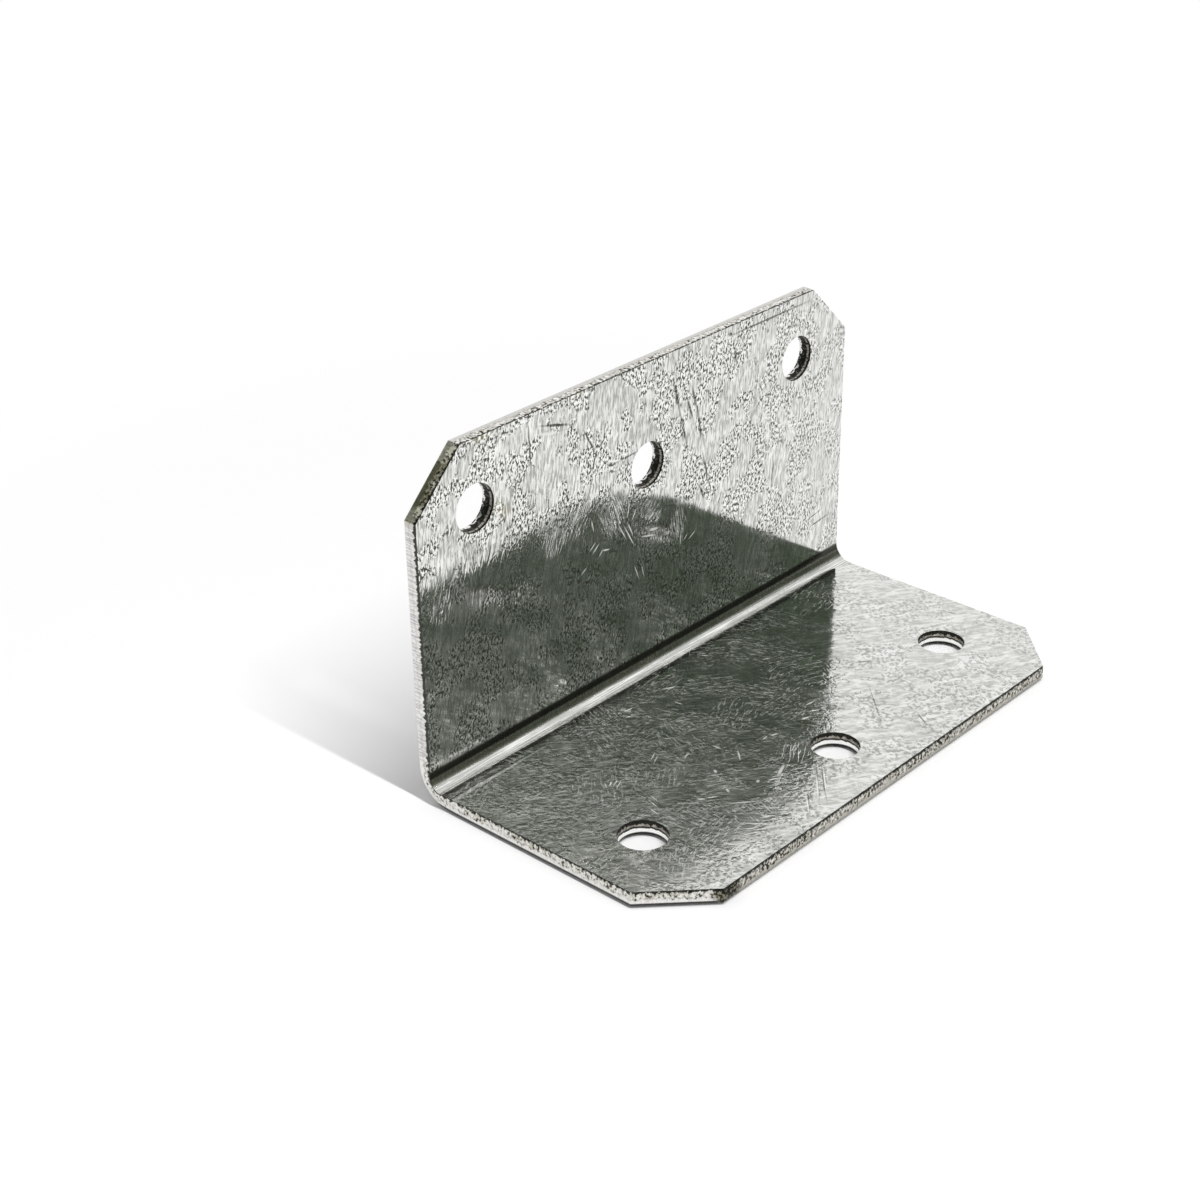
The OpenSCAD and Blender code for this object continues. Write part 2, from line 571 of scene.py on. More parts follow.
def scuffs(tree, place, marks):
    """Scuffs: patches of fine parallel stripes that fade towards their rims. Where two overlap the stronger shows.

    Each patch takes its stripes from a place of its own on one noise, so no two look alike.
    """
    rows, patch = place, 0.0
    for i, (u, v, angle, length, width, stripes) in enumerate(marks):
        if i % SCUFFS_AT_ONCE == SCUFFS_AT_ONCE - 1:
            place = after(tree, place, patch)
        local = lens(tree, place, u, v, angle, length, width)
        inside = ramp(tree, reach(tree, local), 0.3, 1.0, 1.0, 0.0)
        own = vector_node(tree, "MULTIPLY_ADD", local, (STRIPE_BREAKS, stripes, 1), (5.3 * i, 9.1 * i, 0))
        rows = either(tree, math_node(tree, "GREATER_THAN", inside, patch), rows, own.outputs[0])
        patch = math_node(tree, "MAXIMUM", inside, patch)
    return times(tree, ramp(tree, noise(tree, rows, 1.0, 1.0, 0.5), 0.50, 0.62), patch)


# Scratches on the inner faces, in millimetres on the blank: middle u, v, angle, length, width
SCRATCHES = [
    (7.3, 58.3, -75, 9, 1.4), (9.2, 51.3, -74, 12.5, 1), (11.2, 54.5, -69, 7.5, 0.8), (12.6, 56, -73, 8.5, 0.9),
    (14.2, 49.4, -80, 11.5, 1), (15.9, 41, -76, 10.5, 0.8), (15, 35.6, -67, 4.7, 0.9), (24.6, 61.3, -78, 5.1, 1.1),
    (37.1, 32, -97, 6.4, 0.6), (53.5, 15.3, 7, 9, 0.5), (51.6, 17.3, 10, 8.3, 0.4), (-25.6, 63.3, -16, 11.6, 0.8),
    (-32.2, 61.2, -88, 10.8, 0.6), (-16.2, 67.9, -10, 2.9, 0.9), (-15.7, 66.9, -135, 2.6, 0.6),
    (-5.9, 50.7, 3, 5.6, 0.5), (-16.9, 57.4, -60, 8.2, 0.6), (-15.6, 53.1, 70, 6, 0.6),
    (-57.7, 47.2, -39, 4.6, 0.5), (27.3, -28, -38, 5.1, 0.7), (55.3, -29.8, -77, 3.7, 0.5),
    (17.2, -49, -121, 6.4, 0.5), (15.9, -39.2, -134, 18.5, 0.35), (-13.1, -47.6, -140, 17, 0.6),
    (-12.4, -48.5, -138, 16, 0.6), (-19, -50.1, -141, 11, 0.5),
]
# Rubs: bright, dull-surfaced strokes that catch the light where the zinc mirrors a dark room
RUBS = [
    (12, 54.2, -72, 8, 0.9), (9.3, 53.7, -65, 7, 0.9), (8.6, 57.8, -71, 7.5, 0.8), (15.1, 45, -78, 9, 0.8),
    (-27.5, 62.3, -14, 10, 0.8), (-8.2, 35.7, -61, 5.1, 0.4), (-6.4, 34.4, -61, 8.1, 0.4),
    (-6, 35.6, -65, 4.5, 0.4), (-15.6, 35.1, -141, 3.6, 0.5), (-16.5, 35.8, -142, 3.2, 0.4),
    (-14.2, 33.7, -133, 2.5, 0.4), (10.1, 27.9, -137, 2, 0.35), (12, 27.6, -151, 3.4, 0.35),
    (7.5, 30.8, -90, 5.4, 0.3), (8.6, 28, -94, 3.8, 0.3), (-10.2, 41.5, -68, 4.2, 0.35),
    (-8.8, 41.3, -68, 4.4, 0.35), (-6.5, 39.7, -103, 3.9, 0.4), (-4.9, 38.2, -121, 3.4, 0.35),
    (0, 36.1, 25, 2.2, 0.5), (-22.1, 45.1, 57, 3.1, 0.4), (-20.5, 43.9, 53, 2.8, 0.4),
    (-16.4, 40.1, -78, 3.6, 0.35), (-0.7, 32.2, -16, 6.6, 0.6), (0.6, 33.1, -10, 4.4, 0.9),
    (-4.3, 25.8, -69, 5.4, 0.35), (-2.5, 25.3, -75, 4.5, 0.3), (-12.8, 33.8, -13, 2.8, 0.6),
    (-19, 31.7, 33, 2.6, 0.4), (-14.2, -40.2, -158, 6.7, 1), (-30.8, -35.4, -41, 2.3, 0.9),
    (-29, -36.5, -37, 3.1, 0.5), (-27, -41.4, -42, 8, 0.45), (-15.2, -31.3, -133, 5.1, 0.5),
    (-22.2, -31.5, -122, 1.7, 0.9), (-25.6, -37.2, -117, 1.7, 0.8), (-19.7, -39.3, 24, 1.4, 0.9),
    (-17.3, -45.7, -19, 1.9, 0.5), (-36.1, -29, -103, 3.6, 0.4), (-37.5, -30, -102, 3.2, 0.4),
    (-39.2, -31.5, -102, 3.2, 0.4), (-36.7, -21.2, -156, 3.4, 0.4), (-37, -20.5, -158, 3.1, 0.4),
    (-37.7, -20, -157, 2.8, 0.4), (-38.6, -19.7, -121, 2.4, 0.4), (-25.8, -19.7, -155, 3.9, 0.35),
    (-26.1, -20.7, -154, 4.2, 0.35), (-21.5, -24.1, -168, 2.7, 0.45), (-16.5, -5.4, -5, 3.1, 0.5),
    (-18.3, -7.1, -26, 1.8, 0.6), (-8.3, -10.9, -82, 2.7, 0.5), (-15.7, -26.4, -84, 2.4, 0.6),
    (-5.4, -31.7, -20, 2.2, 0.5), (-7.3, -31.1, 7, 2.1, 0.45), (3.2, -32.5, -17, 2.7, 0.5),
    (8, -29.8, -6, 3.3, 0.5), (6.3, -32, -30, 3.3, 0.5), (-5.2, -5.9, -26, 3.8, 0.6), (0.5, -21.1, -49, 2.8, 0.4),
    (9, -3, -57, 3, 0.5), (15.8, -13, -31, 2.5, 0.5), (-14.3, -48.5, -140, 12.7, 0.5),
    (-11.9, -48.3, -139, 14.1, 0.4), (-20.1, -50.8, -138, 8.5, 0.45), (-30.2, -47.8, -53, 8.8, 0.4),
    (-38.3, -49.7, 0, 7.9, 0.45),
]
# Scuffs: middle u, v, angle of the stripes, length along them, width across them, stripes across
SCUFFS = [
    (-11.1, 40, 108, 12, 9, 12), (-20.5, 43, 60, 9, 8, 10), (-0.1, 36.9, 50, 5.5, 8, 9), (7.8, 31, 96, 9, 6, 8),
    (-26.6, 41.1, 70, 8, 8, 10), (-35.6, 33.5, 92, 6, 7, 8), (-55.2, 38.9, 75, 8, 6.5, 8),
    (-18.1, -5.3, 40, 4, 9, 8), (-28.2, -4.6, 10, 4, 8, 7), (14, 62, 95, 7, 9, 9), (30, 58, 50, 5, 8, 8),
    (-8, -38, 30, 9, 7, 6), (-30, 52, 84, 11, 9, 10), (-47, 46, 100, 8, 8, 9), (26, 44, 35, 7, 9, 10),
]
# The long line under the top edge, and the mark that the folding die left along the flat leg
LINE_UNDER_TOP = (35.0, 65.6, 0, 34.0, 0.7)
DIE_MARK = (-58.0, -2.4, 0.4, 54.0, 1.2)
# Brown film round the left upper hole, on the top edge and in the near corner: middle u, v, angle, length, width
STAINS = [
    (-40.3, 52.5, -40, 12, 4), (-36.8, 68.2, 0, 7, 2.6), (-50.5, -56, -45, 5, 4), (-44, 67, 0, 8, 2),
    (-20, 67.3, 0, 9, 1.6),
]
# The zinc's patterns, on the flat leg and on the upright leg: direction, and the length and width of one mark
SPECKS = ((-47, 1.7, 1.8), (80, 1.4, 0.8))
STREAKS = ((-47, 4.2, 1.7), (86, 4.4, 0.85))
SWEEPS = ((-30, 15.0, 3.4), (72, 14.0, 2.2))
# Where the zinc changes on the blank, in millimetres: each pair is a ramp's start and end
LEG_CHANGE = (3.4, 3.8)
FEWER_SPECKS = (20.0, 90.0)
DULLER_LEFT = (5.0, 55.0)
BEND_FROM, BEND_TO = (-0.9, 0.1), (4.2, 3.4)
CREASE_FROM, CREASE_TO = (3.0, 4.0), (7.9, 7.0)
SEAM_FROM, SEAM_TO = (5.2, 5.9), (7.9, 7.2)
FINER_GRAIN = (-2.5, -0.6)
# The upright leg leans back at its left end: from v = LEAN_FROM on along a curve, and straight past LEAN_STRAIGHT
LEAN_FROM = 32.0
LEAN_STRAIGHT = 44.0
LEAN_END = (-24.0, -60.0)
LIP_PLACE = (-43.0, -63.0)
# Wiping: the turn of a whole circle, and the mosaic's cells to a millimetre
FULL_TURN = 6.28
MOSAIC_SCALE = 0.12
# Colours of the zinc, of what lies on it, and of the painted shade in the bend's crease
ZINC = (0.70, 0.705, 0.675)
ZINC_DULL = (0.50, 0.51, 0.48)
ZINC_SPARK = (0.97, 0.97, 0.95)
ZINC_PIT = (0.06, 0.065, 0.052)
RUBBED = (1.0, 1.0, 0.98)
RUST_FILM = (0.28, 0.26, 0.17)
# Painted shade: the bend's crease, and its black seam along the upright leg's foot
CREASE_SHADE = (0.12, 0.12, 0.08)
SEAM_SHADE = (0.02, 0.02, 0.015)
# Heights of the bump's parts, in thousandths of a millimetre
GRAIN_HEIGHT = 8.0
FLAT_GRAIN_HEIGHT = 36.0
SWEEP_HEIGHT = 12.0
WAVE_HEIGHT = 22.0
SCUFF_HEIGHT = 45.0
DIE_HEIGHT = 30.0
LEANING_HEIGHT = 9.5
LIP_HEIGHT = 380.0


def zinc_face():
    """The coated faces: bright zinc with dull clouds, fine specks, drawn streaks, scuffs, scratches and stains."""
    material, tree = new_material("zinc_face")
    place = sheet_millimetres(tree)
    apart = add(tree, "ShaderNodeSeparateXYZ", {0: place}).outputs
    zinc = SimpleNamespace(place=place, u=apart[0], v=apart[1])
    zinc.standing = ramp(tree, zinc.v, *LEG_CHANGE)
    zinc_clouds(tree, zinc)
    zinc_grain(tree, zinc)
    zinc_wiping(tree, zinc)
    zinc_marks(tree, zinc)
    zinc_bend(tree, zinc)
    bump = bumped(tree, zinc_height(tree, zinc))
    colour = layered(tree, ZINC, zinc_layers(tree, zinc))
    metal(tree, colour, zinc_roughness(tree, zinc), bump)
    return material


def zinc_clouds(tree, zinc):
    """Dull clouds, the clusters where the streaks break up into specks, slow waves and a fine mottle."""
    zinc.cloud = noise(tree, zinc.place, 0.085, 3.0, 0.55, 0.4)
    zinc.dull = ramp(tree, zinc.cloud, 0.42, 0.66)
    clusters = noise(tree, blank_point(tree, zinc.place, shift=(41, 17)), 0.12, 2.5, 0.65)
    zinc.cluster = ramp(tree, clusters, 0.42, 0.54)
    zinc.wave = noise(tree, blank_point(tree, zinc.place, shift=(7, 93)), 0.16, 1.0, 0.5)
    zinc.mottle = noise(tree, blank_point(tree, zinc.place, shift=(3, 61)), 0.62, 2.0, 0.6)


def zinc_grain(tree, zinc):
    """Specks, drawn streaks and long sweeps: near upright on the upright leg, slanting and coarser on the flat leg.

    The specks thin out to the right, and on the outer faces, whose place on the UV lies past u = 240.
    """
    specks = noise(tree, drawn(tree, zinc.place, zinc.standing, SPECKS), 1.0, 1.5, 0.6, 0.35)
    zinc.streak = noise(tree, drawn(tree, zinc.place, zinc.standing, STREAKS), 1.0, 1.5, 0.6, 0.45)
    zinc.sweep = noise(tree, drawn(tree, zinc.place, zinc.standing, SWEEPS), 1.0, 1.5, 0.6, 0.9)
    zinc.grain = add(tree, "ShaderNodeMix", {0: zinc.cluster, 2: zinc.streak, 3: specks}).outputs[0]
    strength = times(tree, eased(tree, zinc.cluster, 0.35, 1.0), eased(tree, zinc.standing, 0.42, 1.0))
    strength = times(tree, strength, ramp(tree, zinc.u, *FEWER_SPECKS, 1.0, 0.45))
    zinc.pits = times(tree, ramp(tree, zinc.grain, 0.525, 0.565), strength)
    zinc.sparks = times(tree, ramp(tree, zinc.grain, 0.47, 0.38), strength)


def zinc_wiping(tree, zinc):
    """Wiping marks: in every cell of a loose mosaic they run another way."""
    mosaic = add(tree, "ShaderNodeTexVoronoi", {"Vector": zinc.place, "Scale": MOSAIC_SCALE}, voronoi_dimensions="2D")
    chance = add(tree, "ShaderNodeSeparateColor", {0: mosaic.outputs["Color"]})
    turn = times(tree, chance.outputs[0], FULL_TURN)
    turned = add(tree, "ShaderNodeVectorRotate", {"Vector": zinc.place, "Angle": turn}, rotation_type="Z_AXIS")
    wiped = noise(tree, blank_point(tree, turned.outputs[0], 0.40, 2.2), 1.0, 2.0, 0.55)
    wiping = times(tree, ramp(tree, wiped, 0.57, 0.62), ramp(tree, chance.outputs[1], 0.2, 0.6))
    zinc.wiping = times(tree, wiping, eased(tree, zinc.standing, 1.0, 0.12))


def zinc_marks(tree, zinc):
    """The single marks that the photo shows, and the brown film, which keeps to the coarser half of the grain."""
    zinc.cuts = scratches(tree, zinc.place, SCRATCHES)
    zinc.rubs = scratches(tree, zinc.place, RUBS)
    zinc.hatch = scuffs(tree, zinc.place, SCUFFS)
    zinc.under_top = scratches(tree, zinc.place, [LINE_UNDER_TOP])
    zinc.die = scratches(tree, zinc.place, [DIE_MARK])
    zinc.stained = times(tree, scratches(tree, zinc.place, STAINS), ramp(tree, zinc.grain, 0.44, 0.56))


def zinc_bend(tree, zinc):
    """The bend: fine lines along it, and painted shade in its crease, black at the upright leg's foot."""
    zinc.bent = between(tree, zinc.v, BEND_FROM, BEND_TO)
    zinc.bend_lines = noise(tree, blank_point(tree, zinc.place, 0.09, 2.6), 1.0, 2.0, 0.6)
    zinc.crease = between(tree, zinc.v, CREASE_FROM, CREASE_TO)
    zinc.seam = between(tree, zinc.v, SEAM_FROM, SEAM_TO)


def zinc_height(tree, zinc):
    """The coat's height in thousandths of a millimetre.

    With t from 0 at LEAN_FROM to 1 at LEAN_STRAIGHT, the lean is half their distance times t^2, so it goes on
    straight with the same slope. The flat leg's surface falls off towards its free edge.
    """
    curve = LEAN_STRAIGHT - LEAN_FROM
    bending = math_node(tree, "DIVIDE", math_node(tree, "SUBTRACT", zinc.v, LEAN_FROM), curve, clamp=True)
    straight = math_node(tree, "MAXIMUM", math_node(tree, "SUBTRACT", zinc.v, LEAN_STRAIGHT), 0.0)
    leaning = math_node(tree, "MULTIPLY_ADD", times(tree, bending, bending), curve / 2, straight)
    leaning = times(tree, leaning, ramp(tree, zinc.u, *LEAN_END))
    lip = ramp(tree, zinc.v, *LIP_PLACE)
    coarse = ramp(tree, zinc.v, *FINER_GRAIN, FLAT_GRAIN_HEIGHT, GRAIN_HEIGHT)
    height = times(tree, zinc.grain, times(tree, coarse, eased(tree, zinc.cluster, 0.4, 1.0)))
    return summed(tree, height, [
        (zinc.sweep, SWEEP_HEIGHT), (zinc.wave, WAVE_HEIGHT), (zinc.hatch, -SCUFF_HEIGHT), (zinc.die, DIE_HEIGHT),
        (leaning, -LEANING_HEIGHT), (lip, -LIP_HEIGHT),
    ])


def zinc_layers(tree, zinc):
    """The zinc's layers of colour, from the clouds to the bend's painted shade. Where the grain is dark a cut shows
    less.
    """
    return [
        (times(tree, zinc.dull, ramp(tree, zinc.u, *DULLER_LEFT, 0.60, 0.05)), ZINC_DULL),
        (ramp(tree, zinc.mottle, 0.40, 0.62, 0.0, 0.28), ZINC_DULL),
        (ramp(tree, zinc.streak, 0.55, 0.72, 0.0, 0.22), ZINC_DULL),
        (ramp(tree, zinc.sweep, 0.50, 0.66, 0.0, 0.40), ZINC_DULL),
        (ramp(tree, zinc.sweep, 0.47, 0.34, 0.0, 0.5), ZINC_SPARK),
        (ramp(tree, zinc.streak, 0.45, 0.30, 0.0, 0.25), ZINC_SPARK),
        (times(tree, zinc.sparks, 0.90), ZINC_SPARK),
        (times(tree, zinc.pits, 0.95), ZINC_PIT),
        (times(tree, zinc.wiping, 0.35), ZINC_SPARK),
        (times(tree, zinc.hatch, 0.25), ZINC_SPARK),
        (times(tree, zinc.bent, 0.7), ZINC),
        (times(tree, zinc.bent, ramp(tree, zinc.bend_lines, 0.49, 0.57, 0.0, 0.8)), ZINC_DULL),
        (times(tree, zinc.bent, ramp(tree, zinc.bend_lines, 0.46, 0.38, 0.0, 0.8)), ZINC_SPARK),
        (times(tree, zinc.cuts, ramp(
            tree, zinc.grain, 0.36, 0.50, 0.55, eased(tree, zinc.standing, 0.65, 0.97),
        )), ZINC_PIT),
        (times(tree, zinc.rubs, 0.75), RUBBED),
        (times(tree, zinc.die, 0.5), ZINC_SPARK),
        (times(tree, zinc.under_top, 0.8), ZINC_PIT),
        (times(tree, zinc.stained, 0.8), RUST_FILM),
        # painted shade: the crease darkened, and its seam nearly black
        (times(tree, zinc.crease, 0.75), CREASE_SHADE),
        (times(tree, zinc.seam, 0.9), SEAM_SHADE),
    ]


def zinc_roughness(tree, zinc):
    """The coat's roughness: half mirror-like, duller in the clouds and on every mark."""
    rough = ramp(tree, zinc.cloud, 0.35, 0.75, 0.05, 0.13)
    spread = times(tree, zinc.sparks, eased(tree, zinc.standing, 1.0, 0.1))
    return summed(tree, rough, [
        (zinc.pits, 0.20), (spread, 0.15), (zinc.wiping, 0.17), (zinc.hatch, 0.06),
        (zinc.cuts, 0.20), (zinc.crease, 0.2), (zinc.rubs, 0.34), (zinc.die, 0.2),
    ])


# Where the sheet UV's u passes, in millimetres, from the edges to the hole walls, and on to the upright leg's walls
WALLS_FROM = (1500.0, 1501.0)
UPRIGHT_WALLS_FROM = (2500.0, 2501.0)
# Where the cut edges change, in millimetres in the bracket's frame: each pair is a ramp's start and end
FREE_EDGE_Y = (-29.6, -30.5)
CROPPED_X, CROPPED_Z = (-48.8, -49.4), (54.8, 55.4)
# Painted contact shadow on the lowest rim, by height
CONTACT_SHADE_Z = (0.74, 0.56)
STANDING_END_X, STANDING_END_Z = (-59.0, -59.4), (7.0, 9.0)
TOP_EDGE_Z = (65.7, 66.1)
DIRTY_CORNER = (-47.6, -30.7, 1.8)
DIRTY_CORNER_REACH = (3.8, 1.6)
# Depths from the outer face, in millimetres: a painted shadow at the light walls' foot, and two rings on the dark
# walls
WALL_FOOT = (0.52, 0.46)
CRESCENT_DEPTH = 2.3
# The ring low on the dark walls is painted shade, where the rolled rim lies in shadow
RING_DEPTH = 0.42
# Heights of the bump's parts, in thousandths of a millimetre
GRIT_HEIGHT = 70.0
LINES_HEIGHT = 12.0
# Colours of the cut edges
SHEARED_STEEL = (0.82, 0.81, 0.79)
SHEARED_SHADE = (0.58, 0.57, 0.54)
STRIPE_SHADE = (0.52, 0.51, 0.51)
TORN_STEEL = (0.78, 0.765, 0.72)
TORN_SHADE = (0.46, 0.43, 0.35)
TORN_CHIP = (0.93, 0.92, 0.89)
# Near black for pits, cracks and the burr line, and for painted shade: the walls' foot, the ring and the lowest rim
PIT_AND_SHADE = (0.015, 0.015, 0.012)
# The free edge's browner tone, darkened as painted shade where it faces the dark front
FREE_EDGE_SHADE = (0.47, 0.455, 0.395)
TOP_EDGE_STEEL = (0.48, 0.47, 0.43)
OLIVE_FILM = (0.62, 0.60, 0.49)
OLIVE_DIRT = (0.14, 0.13, 0.07)
# Painted highlight: the flat leg's hole walls, lit by the key light, near white
WALL_WHITE = (1.0, 1.0, 0.98)
WALL_TAN = (0.46, 0.43, 0.37)
# Painted shade: the torn band on the upright leg's hole walls, which face away from the key light
WALL_SHADE = (0.022, 0.022, 0.019)


def cut_edge():
    """The sheared edges and the holes' walls, by depth from the outer face.

    A smooth rolled rim, a bright sheared band with fine lines across the sheet, a rough torn band with pits and
    chips, and a broken dark line where the burr meets the inner face. Colour follows the bracket's own coordinates:
    the free edge is browner and darkened as painted shade, the upright leg's left cropped corner is olive, and a
    painted contact shadow darkens the lowest rim.
    """
    material, tree = new_material("cut_edge")
    place = sheet_millimetres(tree)
    apart = add(tree, "ShaderNodeSeparateXYZ", {0: place}).outputs
    cut = SimpleNamespace(place=place, depth=apart[1])
    cut.wall = ramp(tree, apart[0], *WALLS_FROM)
    cut.dark_wall = ramp(tree, apart[0], *UPRIGHT_WALLS_FROM)
    cut_places(tree, cut)
    cut_bands(tree, cut)
    cut_lines(tree, cut)
    cut_wear(tree, cut)
    height = times(tree, times(tree, cut.grit, cut.torn), GRIT_HEIGHT)
    bump = bumped(tree, summed(tree, height, [(cut.lines, LINES_HEIGHT)]))
    colour = layered(tree, SHEARED_STEEL, cut_layers(tree, cut))
    metal(tree, colour, eased(tree, cut.torn, 0.30, 0.55), bump)
    return material


def cut_places(tree, cut):
    """The stretches of edge that look different, from the bracket's own coordinates."""
    place = add(tree, "ShaderNodeTexCoord").outputs["Object"]
    solid = vector_node(tree, "MULTIPLY", place, (1 / MM,) * 3).outputs[0]
    x, y, z = add(tree, "ShaderNodeSeparateXYZ", {0: solid}).outputs
    cut.free = ramp(tree, y, *FREE_EDGE_Y)
    cut.cropped = times(tree, ramp(tree, x, *CROPPED_X), ramp(tree, z, *CROPPED_Z))
    cut.lowest = times(tree, ramp(tree, z, *CONTACT_SHADE_Z), eased(tree, cut.free, 1.0, 0.35))
    corner = vector_node(tree, "DISTANCE", solid, DIRTY_CORNER).outputs["Value"]
    cut.corner = ramp(tree, corner, *DIRTY_CORNER_REACH)
    cut.standing_end = times(tree, ramp(tree, x, *STANDING_END_X), ramp(tree, z, *STANDING_END_Z))
    cut.top_edge = ramp(tree, z, *TOP_EDGE_Z)


def cut_bands(tree, cut):
    """The torn band, down to its ragged border with the sheared one, and the noises of lines, grit and patches."""
    cut.lines = noise(tree, blank_point(tree, cut.place, 3.2, 0.25), 1.0, 2.0, 0.6)
    grit = noise(tree, blank_point(tree, cut.place, 1.0, 0.85), 1.55, 2.5, 0.6)
    cut.patch = noise(tree, blank_point(tree, cut.place, 1.0, 0.6, shift=(13, 29)), 0.22, 2.0, 0.5)
    ragged = noise(tree, blank_point(tree, cut.place, 1.0, 0.1, shift=(5, 3)), 0.9, 3.0, 0.6)
    cut.broken = noise(tree, blank_point(tree, cut.place, 1.0, 0.1, shift=(71, 9)), 1.3, 3.0, 0.6)
    low_edge = eased(tree, math_node(tree, "MAXIMUM", cut.dark_wall, cut.free), 0.5, 0.05)
    cut.light_wall = math_node(tree, "SUBTRACT", cut.wall, cut.dark_wall)
    border = math_node(tree, "MULTIPLY_ADD", ragged, eased(tree, cut.light_wall, 1.8, 0.60), low_edge)
    border = summed(tree, border, [(cut.light_wall, 0.80)])
    cut.above_border = math_node(tree, "SUBTRACT", cut.depth, border)
    torn = ramp(tree, cut.above_border, -0.10, 0.10)
    cut.torn = times(tree, torn, eased(tree, cut.standing_end, 1.0, 0.15))
    cut.grit = summed(tree, grit, [(cut.free, 0.065)])


def cut_lines(tree, cut):
    """Dark lines along the edge: the burr's, the crack at the torn band's border, and painted shadow on the holes'
    walls.
    """
    burr_line = math_node(tree, "MULTIPLY_ADD", cut.broken, -1.7, eased(tree, cut.standing_end, 3.46, 3.22))
    burr_line = summed(tree, burr_line, [(cut.light_wall, -0.42), (cut.free, -0.16)])
    cut.burr = ramp(tree, math_node(tree, "SUBTRACT", cut.depth, burr_line), -0.10, 0.05)
    crack = ramp(tree, math_node(tree, "ABSOLUTE", cut.above_border), 0.25, 0.13)
    cut.crack = times(tree, crack, eased(tree, cut.wall, 0.15, 0.95))
    cut.foot = times(tree, cut.light_wall, ramp(tree, cut.depth, *WALL_FOOT))
    crescent = times(tree, close_to(tree, cut.depth, CRESCENT_DEPTH, 0.34, 0.16), cut.dark_wall)
    cut.crescent = times(tree, crescent, ramp(tree, cut.broken, 0.36, 0.52))


def cut_wear(tree, cut):
    """Pits and chips of the torn band, fewer on the holes' walls, and a broken ring of painted shade low on the dark
    walls.
    """
    holes = times(tree, ramp(tree, cut.grit, 0.555, 0.605), eased(tree, cut.torn, 0.12, 1.0))
    holes = times(tree, holes, ramp(tree, cut.patch, 0.30, 0.60, 0.45, 1.0))
    chips = times(tree, ramp(tree, cut.grit, 0.455, 0.37), cut.torn)
    quiet = math_node(tree, "MAXIMUM", cut.dark_wall, cut.cropped)
    chips = times(tree, chips, eased(tree, quiet, 1.0, 0.25))
    cut.chips = times(tree, chips, eased(tree, cut.wall, 1.0, 0.4))
    cut.holes = times(tree, holes, eased(tree, cut.wall, 1.0, 0.4))
    ring = times(tree, close_to(tree, cut.depth, RING_DEPTH, 0.22, 0.10), cut.dark_wall)
    cut.ring = times(tree, ring, ramp(tree, cut.broken, 0.47, 0.52))


def cut_layers(tree, cut):
    """The cut edges' layers of colour, from the sheared steel's shade up to the painted contact shadow on the lowest
    rim.
    """
    return [
        (ramp(tree, cut.lines, 0.45, 0.70, 0.0, 0.50), SHEARED_SHADE),
        (times(tree, cut.standing_end, ramp(tree, cut.lines, 0.40, 0.64)), STRIPE_SHADE),
        # painted highlight: the flat leg's hole walls near white
        (times(tree, cut.light_wall, 0.9), WALL_WHITE),
        (cut.torn, TORN_STEEL),
        (times(tree, ramp(tree, cut.patch, 0.45, 0.65), times(tree, cut.torn, 0.55)), TORN_SHADE),
        # painted shade: the free edge darker, with a browner tone
        (times(tree, cut.free, eased(tree, cut.torn, 0.90, 0.50)), FREE_EDGE_SHADE),
        (times(tree, cut.cropped, 0.85), OLIVE_FILM),
        (times(tree, cut.cropped, ramp(tree, cut.grit, 0.50, 0.58, 0.0, 0.75)), TORN_SHADE),
        (times(tree, cut.cropped, ramp(tree, cut.patch, 0.52, 0.60, 0.0, 0.8)), OLIVE_DIRT),
        (times(tree, cut.top_edge, 0.5), TOP_EDGE_STEEL),
        (times(tree, times(tree, cut.wall, cut.torn), 0.85), WALL_TAN),
        # painted shade: the torn band of the upright leg's hole walls, nearly black
        (times(tree, cut.dark_wall, cut.torn), WALL_SHADE),
        (cut.crescent, WALL_TAN),
        # painted shadow at the foot of the flat leg's hole walls
        (cut.foot, PIT_AND_SHADE),
        (times(tree, cut.chips, 0.85), TORN_CHIP),
        (times(tree, cut.holes, 0.96), PIT_AND_SHADE),
        (times(tree, cut.corner, 0.80), OLIVE_DIRT),
        (times(tree, cut.corner, ramp(tree, cut.grit, 0.50, 0.58)), PIT_AND_SHADE),
        (cut.crack, PIT_AND_SHADE),
        # painted shade: a broken ring where the rolled rim lies in shadow
        (cut.ring, PIT_AND_SHADE),
        (times(tree, cut.burr, 0.95), PIT_AND_SHADE),
        # painted contact shadow on the lowest rim, weaker on the free edge
        (times(tree, cut.lowest, 0.95), PIT_AND_SHADE),
    ]


def build_bracket():
    """The dressed bracket, in place of the plain solid."""
    mesh = folded_sheet()
    bracket = new_object("bracket_sheet", mesh)
    mesh.materials.append(zinc_face())
    mesh.materials.append(cut_edge())
    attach(bracket, "root")
    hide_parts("bracket")


# Studio: a white table, a soft light behind and to the right, a softer one overhead, and a dark, green-grey front
TABLE_RADIUS = 4.0
TABLE_SIDES = 96
TABLE_DROP = 0.30 * MM
TABLE_WHITE = 0.92
TABLE_NEAR = 0.13
TABLE_FAR = 0.24
TABLE_FILL = 0.52
BACK_LIGHT = Vector((0.55, 0.55, 0.63)).normalized()
TOP_LIGHT = Vector((0.0, -0.15, 0.99)).normalized()
# Cosines of the angle from each light's middle at which it starts and at which it is full
BACK_SPREAD = (0.50, 0.85)
TOP_SPREAD = (0.585, 0.72)
DARK_FRONT = (0.104, 0.130, 0.097)
KEY_ELEVATION = 68.0
KEY_DISTANCE = 1.6
KEY_SIDE = -0.06
KEY_SIZE = (0.03, 1.16)
KEY_POWER = 18.3


def grey(level):
    """A neutral colour."""
    return (level, level, level, 1)


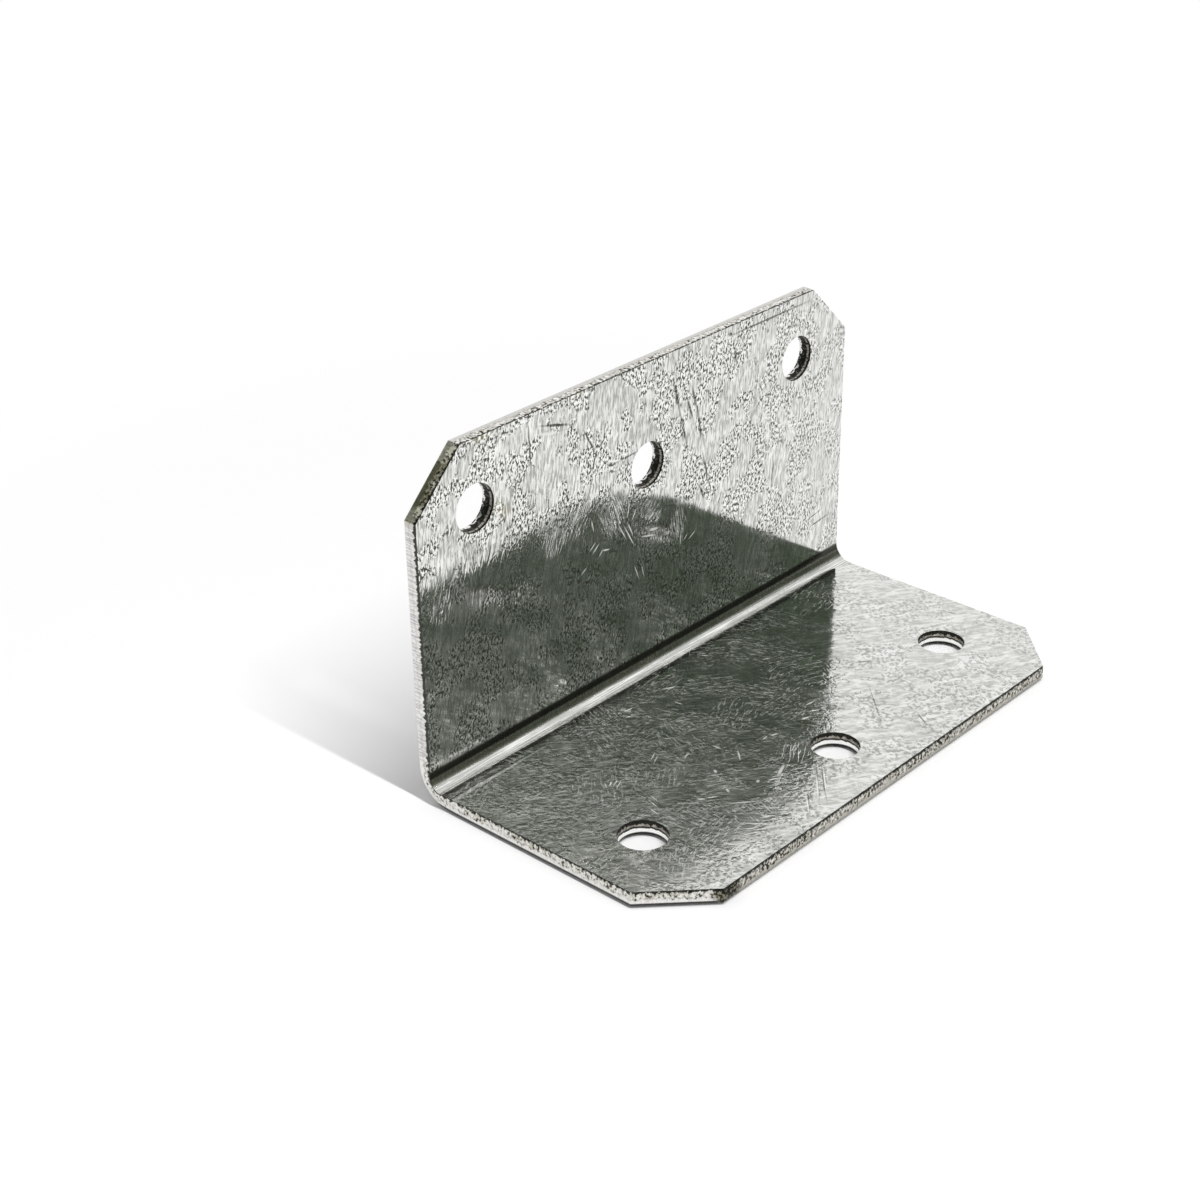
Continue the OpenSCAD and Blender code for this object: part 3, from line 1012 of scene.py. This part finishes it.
def studio_table():
    """The table: a white disc. Past the shadow's reach the camera and the steel see it as plain white."""
    angles = np.linspace(0, 2 * math.pi, TABLE_SIDES + 1)[:-1]
    rim = np.stack([TABLE_RADIUS * np.cos(angles), TABLE_RADIUS * np.sin(angles), 0 * angles - TABLE_DROP], axis=1)
    mesh = bpy.data.meshes.new("table")
    mesh.from_pydata(rim.tolist(), [], [list(range(len(rim)))])
    table = new_object("table", mesh)
    material, tree = new_material("table_white")
    far = ramp(tree, reach(tree, add(tree, "ShaderNodeTexCoord").outputs["Object"]), TABLE_NEAR, TABLE_FAR)
    path = add(tree, "ShaderNodeLightPath")
    seen = math_node(tree, "MAXIMUM", path.outputs["Is Camera Ray"], path.outputs["Is Glossy Ray"])
    seen = math_node(tree, "MAXIMUM", seen, path.outputs["Is Transmission Ray"])
    paint = add(tree, "ShaderNodeBsdfDiffuse", {"Color": grey(TABLE_WHITE)})
    glow = add(tree, "ShaderNodeEmission", {"Color": grey(1.0), "Strength": 1.0})
    both = add(tree, "ShaderNodeMixShader", {0: times(tree, far, seen), 1: paint.outputs[0], 2: glow.outputs[0]})
    add(tree, "ShaderNodeOutputMaterial", {"Surface": both.outputs[0]})
    mesh.materials.append(material)


def studio_world():
    """The room: white to the camera, an even fill for the table, and for the steel its lights and its dark front."""
    world = bpy.data.worlds.new("studio")
    bpy.context.scene.world = world
    world.use_nodes = True
    tree = world.node_tree
    tree.nodes.clear()
    way = add(tree, "ShaderNodeTexCoord").outputs["Generated"]
    facing = [vector_node(tree, "DOT_PRODUCT", way, light).outputs["Value"] for light in (BACK_LIGHT, TOP_LIGHT)]
    back = ramp(tree, facing[0], *BACK_SPREAD)
    top = ramp(tree, facing[1], *TOP_SPREAD)
    path = add(tree, "ShaderNodeLightPath")
    room = mixed(tree, math_node(tree, "MAXIMUM", back, top), (*DARK_FRONT, 1), grey(1.0))
    filled = mixed(tree, path.outputs["Is Diffuse Ray"], room, grey(TABLE_FILL))
    seen = mixed(tree, path.outputs["Is Camera Ray"], filled, grey(1.0))
    background = add(tree, "ShaderNodeBackground", {"Color": seen, "Strength": 1.0})
    add(tree, "ShaderNodeOutputWorld", {"Surface": background.outputs[0]})
    world.cycles.sampling_method = "NONE"


def studio_lamps():
    """The key light: an upright strip in front, so narrow that the shadow's side is crisp, so tall that it fades."""
    data = bpy.data.lights.new("key", "AREA")
    data.shape = "RECTANGLE"
    data.size, data.size_y = KEY_SIZE
    data.energy = KEY_POWER
    lamp = new_object("key", data)
    height = math.radians(KEY_ELEVATION)
    lamp.location = (KEY_SIDE, -KEY_DISTANCE * math.cos(height), KEY_DISTANCE * math.sin(height))
    lamp.rotation_euler = (math.pi / 2 - height, 0, 0)


# Camera, from the fit of the photograph's 1200 x 1200 frame to the bracket's real sizes
CAMERA_PLACE = Vector((-0.28029, -0.21697, 0.21626))
CAMERA_HEADING = math.radians(47.34)
CAMERA_PITCH = math.radians(-28.16)
CAMERA_ROLL = math.radians(-0.91)
CAMERA_LENS = 65.503
CAMERA_SENSOR = 36.0


def studio_camera():
    """The camera: heading is measured from +Y towards +X, pitch upwards, roll about the line of sight."""
    heading, pitch, roll = CAMERA_HEADING, CAMERA_PITCH, CAMERA_ROLL
    ahead = Vector((math.cos(pitch) * math.sin(heading), math.cos(pitch) * math.cos(heading), math.sin(pitch)))
    level = Vector((math.cos(heading), -math.sin(heading), 0))
    above = level.cross(ahead)
    right = level * math.cos(roll) + above * math.sin(roll)
    upward = above * math.cos(roll) - level * math.sin(roll)
    data = bpy.data.cameras.new("camera")
    data.sensor_width = CAMERA_SENSOR
    data.lens = CAMERA_LENS
    data.clip_start = 0.01
    camera = new_object("camera", data)
    turn = Matrix((right, upward, -ahead)).transposed()
    camera.matrix_world = Matrix.Translation(CAMERA_PLACE) @ turn.to_4x4()
    bpy.context.scene.camera = camera


build_bracket()
studio_table()
studio_world()
studio_lamps()
studio_camera()
bpy.context.scene.view_settings.view_transform = "Standard"
